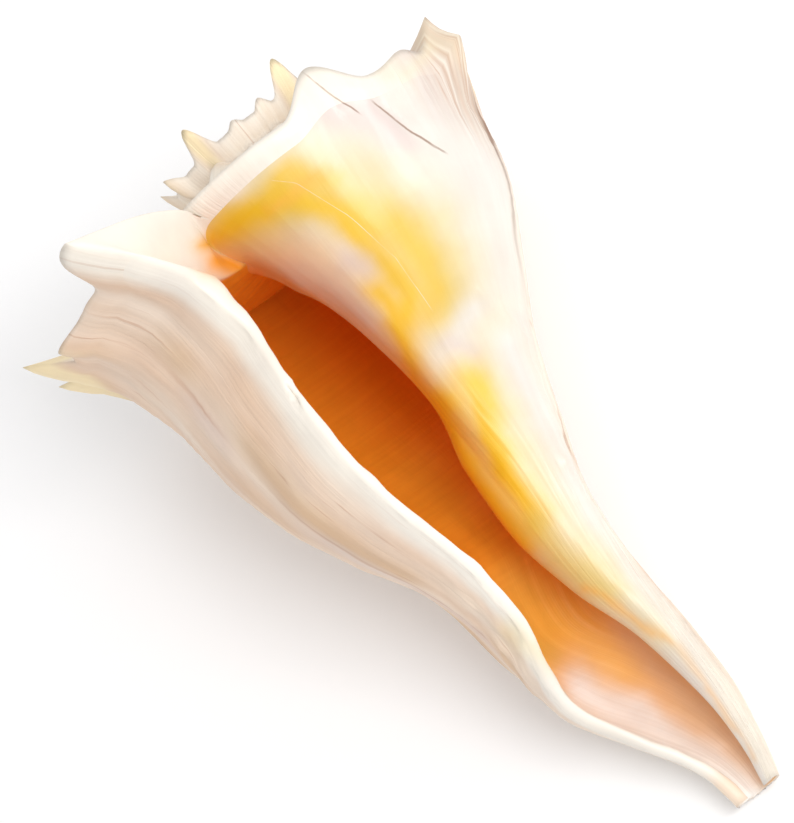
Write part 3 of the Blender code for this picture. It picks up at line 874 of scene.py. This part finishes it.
def dead_end_sheet(whorls, pillar, inside, colours):
    """End of the hollow, far behind the pillar."""
    back = np.concatenate([np.repeat(pillar[-1:, 0], CEILING_ROWS, 0), pillar[-1]])
    places = np.stack([inside[-1], back])
    tint = hollow_tint(places, colours)
    return Sheet(places, LIP_DEG - HOLLOW_DEG[0], whorls.inside_shares[None, :], tint, 1.0, 1.0)


def shell_sheets(shape, colours):
    """All sheets of the shell, outer face first, and the place of its tip."""
    whorls = Whorls(shape)
    brow = whorls.brow()
    shoulder = shoulder_sheet(whorls, brow, colours)
    wall = wall_sheet(whorls, brow, colours)
    face = face_sheet(whorls, colours)
    pillar = pillar_sheet(whorls, face.grid[-1, FACE_ROWS:], colours)
    inside = inside_sheet(whorls, pillar.grid, colours)
    outer_edge = np.concatenate([shoulder.grid[0], wall.grid[0, 1:]])
    lip = lip_sheet(whorls, outer_edge, inside.grid[0], colours)
    dead_end = dead_end_sheet(whorls, pillar.grid, inside.grid, colours)
    apex = place(APEX_OFFSET, whorls.azimuth[-1] - 90, brow[-1, CREST_ROWS, 2] + APEX_RISE)
    return [shoulder, wall, face, pillar, inside, lip, dead_end], apex


def rest_turn():
    """Turns the upright shell onto its back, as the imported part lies."""
    lay_down = Matrix(((1, 0, 0), (0, 0, 1), (0, -1, 0)))
    spin = Matrix.Rotation(math.radians(REST_SPIN_DEG), 3, "Y")
    tip = Matrix.Rotation(math.radians(REST_TIP_DEG), 3, "X")
    return tip @ spin @ lay_down


def closed_mesh(sheets, apex, step):
    """One closed body from all the sheets, laid on its back."""
    bm = bmesh.new()
    corners = bm.loops.layers
    lines, relief = corners.uv.new("growth"), bm.verts.layers.float.new("relief")
    colour_layers = [corners.float_color.new(name) for name in ("tint", "finish", "marks")]
    for sheet in sheets:
        sheet.lay(bm, (lines, *colour_layers, relief))
    bmesh.ops.remove_doubles(bm, verts=bm.verts, dist=MERGE_STEPS)
    edges = [edge for edge in bm.edges if edge.is_boundary]
    caps = bmesh.ops.edgeloop_fill(bm, edges=edges)["faces"]
    if len(caps) != 2:
        raise RuntimeError(f"the shell has {len(caps)} open ends, not 2")
    for loop in [loop for cap in caps for loop in cap.loops]:
        beside = next(other for other in loop.vert.link_loops if other.face not in caps)
        loop[lines].uv = beside[lines].uv
        for layer in colour_layers:
            loop[layer] = beside[layer]
    spire = max(caps, key=lambda face: face.calc_center_median().z)
    middle = bmesh.ops.poke(bm, faces=[spire])["verts"][0]
    middle.co = apex
    bmesh.ops.recalc_face_normals(bm, faces=bm.faces)
    if not all(edge.is_manifold for edge in bm.edges):
        raise RuntimeError("the shell isn't closed")
    bm.normal_update()
    for vert in bm.verts:
        vert.co += vert.normal * vert[relief]
    bmesh.ops.rotate(bm, verts=bm.verts, cent=(0, 0, 0), matrix=rest_turn())
    bmesh.ops.scale(bm, verts=bm.verts, vec=(step, step, step))
    bmesh.ops.translate(bm, verts=bm.verts, vec=REST_SHIFT)
    for face in bm.faces:
        face.smooth = True
    mesh = bpy.data.meshes.new("whelk_shell")
    bm.to_mesh(mesh)
    bm.free()
    return mesh


class Nodes:
    """Short way to add and join the nodes of one shader tree."""

    def __init__(self, tree):
        self.tree = tree

    def add(self, kind, inputs=None, **settings):
        """Adds a node; its inputs take plain values or other nodes' outputs."""
        node = self.tree.nodes.new(kind)
        for name, value in settings.items():
            setattr(node, name, value)
        for name, value in (inputs or {}).items():
            if isinstance(value, bpy.types.NodeSocket):
                self.tree.links.new(value, node.inputs[name])
            else:
                node.inputs[name].default_value = value
        return node

    def noise(self, vector, repeats, detail=3.0):
        """Noise between about 0 and 1 that repeats so often along each coordinate."""
        mapping = self.add("ShaderNodeMapping", {"Vector": vector, "Scale": repeats})
        return self.add("ShaderNodeTexNoise", {"Vector": mapping.outputs["Vector"], "Scale": 1.0,
                                               "Detail": detail, "Roughness": 0.55}).outputs["Fac"]

    def between(self, value, low, high, to_low=0.0, to_high=1.0):
        """Smooth ramp from one result to another as a value rises between two limits."""
        return self.add("ShaderNodeMapRange", {"Value": value, "From Min": low, "From Max": high,
                                               "To Min": to_low, "To Max": to_high},
                        interpolation_type="SMOOTHSTEP").outputs["Result"]

    def math(self, operation, first, second):
        """Result of one calculation with two values or outputs."""
        node = self.add("ShaderNodeMath", {0: first, 1: second}, operation=operation)
        return node.outputs["Value"]

    def shaded(self, base, amount, pattern, shade, low=0.35, high=0.65):
        """Multiplies a colour by a factor that follows a pattern from dark to light."""
        factor = self.mix(self.between(pattern, low, high), *shade)
        return self.mix(amount, base, factor, "MULTIPLY")

    def mix(self, amount, first, second, blend="MIX"):
        """Colour between two colours, or a blend of them."""
        node = self.add("ShaderNodeMix", data_type="RGBA", blend_type=blend)
        for number, value in ((0, amount), (6, first), (7, second)):
            if isinstance(value, bpy.types.NodeSocket):
                self.tree.links.new(value, node.inputs[number])
            else:
                node.inputs[number].default_value = value
        return node.outputs[2]


def shell_material(colours):
    """Chalk outside, porcelain glaze round the mouth; growth lines follow the coil."""
    material = bpy.data.materials.new("whelk_shell")
    material.use_nodes = True
    tree = material.node_tree
    shader = tree.nodes["Principled BSDF"]
    nodes = Nodes(tree)
    lines = nodes.add("ShaderNodeUVMap", uv_map="growth").outputs["UV"]
    solid = nodes.add("ShaderNodeTexCoord").outputs["Object"]
    tint = nodes.add("ShaderNodeAttribute", attribute_name="tint").outputs["Color"]
    finish = nodes.add("ShaderNodeAttribute", attribute_name="finish").outputs["Color"]
    finish = nodes.add("ShaderNodeSeparateColor", {"Color": finish})
    glaze, inside, canal = finish.outputs["Red"], finish.outputs["Green"], finish.outputs["Blue"]
    marks = nodes.add("ShaderNodeAttribute", attribute_name="marks")
    marks_parts = nodes.add("ShaderNodeSeparateColor", {"Color": marks.outputs["Color"]})
    chalk = nodes.math("SUBTRACT", 1.0, glaze)

    fine = nodes.noise(lines, FINE_LINES, 2.0)
    broad = nodes.noise(lines, BROAD_LINES)
    cords = nodes.noise(lines, CORD_LINES, 2.0)
    along_canal = nodes.noise(lines, CANAL_LINES, 2.0)
    clouds = nodes.noise(solid, CLOUDS, 4.0)
    stain = nodes.math("MULTIPLY", nodes.between(fine, 0.56, 0.66), nodes.between(broad, 0.52, 0.62))
    stain = nodes.math("MULTIPLY", stain, nodes.between(chalk, 0.2, 0.9, 0.0, 0.5))
    base = nodes.mix(stain, tint, (*colours.rust, 1))
    base = nodes.shaded(base, nodes.between(chalk, 0.0, 1.0, 0.25, 0.8), broad, GROWTH_SHADE)
    base = nodes.shaded(base, nodes.between(inside, 0.0, 1.0, 0.0, 0.22), cords, CORD_SHADE)
    base = nodes.shaded(base, nodes.between(canal, 0.0, 1.0, 0.0, 0.2), along_canal, CANAL_SHADE)
    base = nodes.shaded(base, 0.7, clouds, CLOUD_SHADE, 0.3, 0.7)
    # Ink of the painted shade lines: rust on chalk, brown on glaze; the lip's white draws the pale growth
    # lines
    dark = nodes.mix(glaze, (*colours.rust, 1), (*colours.shade_brown, 1))
    wander = nodes.math("MULTIPLY", nodes.math("SUBTRACT", clouds, 0.5), 4.0)
    uneven = nodes.between(clouds, 0.35, 0.6, 0.1, 0.8)
    for side, bold, ink in ((marks_parts.outputs["Red"], marks_parts.outputs["Green"], dark),
                            (marks_parts.outputs["Blue"], marks.outputs["Alpha"], (*colours.lip, 1))):
        away = nodes.math("ABSOLUTE", nodes.math("ADD", side, wander), 0.0)
        line = nodes.math("MULTIPLY", nodes.between(away, 1.0, 0.2), bold)
        base = nodes.mix(nodes.math("MULTIPLY", line, uneven), base, ink)
    tree.links.new(base, shader.inputs["Base Color"])

    rough = nodes.between(glaze, 0.0, 1.0, CHALK_ROUGH, GLAZE_ROUGH)
    rough = nodes.math("ADD", rough, nodes.between(clouds, 0.3, 0.7, -0.04, 0.08))
    tree.links.new(rough, shader.inputs["Roughness"])
    tree.links.new(nodes.math("MULTIPLY", glaze, GLAZE_COAT), shader.inputs["Coat Weight"])
    shader.inputs["Coat Roughness"].default_value = COAT_ROUGH
    ridges = nodes.math("MULTIPLY", fine, nodes.between(chalk, 0.0, 1.0, 0.12, 1.0))
    rings = nodes.math("MULTIPLY", cords, nodes.between(inside, 0.0, 1.0, 0.1, 0.35))
    height = nodes.math("ADD", ridges, rings)
    bump_node = nodes.add("ShaderNodeBump", {"Height": height, "Strength": BUMP_STRENGTH,
                                             "Distance": BUMP_METRES})
    tree.links.new(bump_node.outputs["Normal"], shader.inputs["Normal"])
    return material


class WHELK_OT_shell(bpy.types.Operator):
    """Build the whelk shell as one closed mesh"""
    bl_idname = "whelk.shell"
    bl_label = "Shell"

    def execute(self, context):
        shape, colours = context.scene.whelk_shape, context.scene.whelk_colours
        sheets, apex = shell_sheets(shape, colours)
        mesh = closed_mesh(sheets, apex, shape.step)
        mesh.materials.append(shell_material(colours))
        shell = bpy.data.objects.new("whelk_shell", mesh)
        context.scene.collection.objects.link(shell)
        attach(shell, "root")
        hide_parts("shell")
        return {"FINISHED"}


class WHELK_OT_stage(bpy.types.Operator):
    """Add the floor, the lights and the camera"""
    bl_idname = "whelk.stage"
    bl_label = "Stage"

    def execute(self, context):
        settings = context.scene.whelk_stage
        bpy.ops.mesh.primitive_plane_add(size=FLOOR_METRES, location=(0, 0, 0))
        floor = context.object
        floor.name = "floor"
        paper = bpy.data.materials.new("floor")
        paper.use_nodes = True
        shader = paper.node_tree.nodes["Principled BSDF"]
        shader.inputs["Base Color"].default_value = (*settings.floor, 1)
        shader.inputs["Roughness"].default_value = 0.9
        floor.data.materials.append(paper)
        camera = add_camera(context, settings.distance)
        add_lights(context, settings, camera)
        context.scene.view_settings.view_transform = "Standard"
        return {"FINISHED"}


def add_camera(context, distance):
    """Camera at the viewing angle of the mouth, turned as the shell lies across the picture."""
    turn, tilt = rest_turn(), math.radians(VIEW_TILT_DEG)
    back = turn @ Vector((0, -math.cos(tilt), -math.sin(tilt)))
    across = turn @ Vector((1, 0, 0))
    along = turn @ Vector((0, -math.sin(tilt), math.cos(tilt)))
    cos, sin = PICTURE_TURN
    right, up = cos * across - sin * along, sin * across + cos * along
    data = bpy.data.cameras.new("camera")
    camera = bpy.data.objects.new("camera", data)
    context.scene.collection.objects.link(camera)
    target = turn @ Vector(VIEW_TARGET) * context.scene.whelk_shape.step + Vector(REST_SHIFT)
    axes = Matrix((right.normalized(), up.normalized(), back.normalized())).transposed()
    camera.matrix_world = Matrix.Translation(target + back * distance) @ axes.to_4x4()
    data.sensor_fit = "HORIZONTAL"
    data.sensor_width = 36
    data.lens = data.sensor_width * LENS_PIXELS / PICTURE_WIDTH
    data.clip_end = 20
    context.scene.camera = camera
    return camera


def add_lamp(context, name, size, power, location):
    """Square area lamp that shines on the shell."""
    data = bpy.data.lights.new(name, "AREA")
    data.size = size
    data.energy = power
    lamp = bpy.data.objects.new(name, data)
    context.scene.collection.objects.link(lamp)
    lamp.location = location
    lamp.rotation_euler = (Vector(LAMPS_AIM) - lamp.location).to_track_quat("-Z", "Y").to_euler()


def add_lights(context, settings, camera):
    """White surroundings, a wide lamp beside the camera and smaller light from two sides."""
    world = bpy.data.worlds.new("studio")
    world.use_nodes = True
    background = world.node_tree.nodes["Background"]
    background.inputs["Color"].default_value = (1, 1, 1, 1)
    background.inputs["Strength"].default_value = settings.sky
    context.scene.world = world
    axes = camera.matrix_world.to_3x3()
    for name, (size, spot) in LAMPS.items():
        add_lamp(context, name, size, getattr(settings, name), axes @ Vector(spot))


class WHELK_PT_panel(bpy.types.Panel):
    """Sizes, colours and steps of the whelk shell"""
    bl_idname = "WHELK_PT_panel"
    bl_label = "Whelk Shell"
    bl_space_type = "VIEW_3D"
    bl_region_type = "UI"
    bl_category = "Whelk"

    def draw(self, context):
        layout, scene = self.layout, context.scene
        for title, group, operator in (
            ("Shape", scene.whelk_shape, None),
            ("Colours", scene.whelk_colours, "whelk.shell"),
            ("Stage", scene.whelk_stage, "whelk.stage"),
        ):
            box = layout.box()
            box.label(text=title)
            for name in group.__annotations__:
                box.prop(group, name)
            if operator:
                box.operator(operator)


CLASSES = (ShellShape, ShellColours, StageSettings, WHELK_OT_shell, WHELK_OT_stage, WHELK_PT_panel)


def register():
    for cls in CLASSES:
        bpy.utils.register_class(cls)
    bpy.types.Scene.whelk_shape = PointerProperty(type=ShellShape)
    bpy.types.Scene.whelk_colours = PointerProperty(type=ShellColours)
    bpy.types.Scene.whelk_stage = PointerProperty(type=StageSettings)


def unregister():
    del bpy.types.Scene.whelk_stage
    del bpy.types.Scene.whelk_colours
    del bpy.types.Scene.whelk_shape
    for cls in reversed(CLASSES):
        bpy.utils.unregister_class(cls)


def main():
    register()
    bpy.ops.whelk.shell()
    bpy.ops.whelk.stage()


if __name__ == "__main__":
    main()
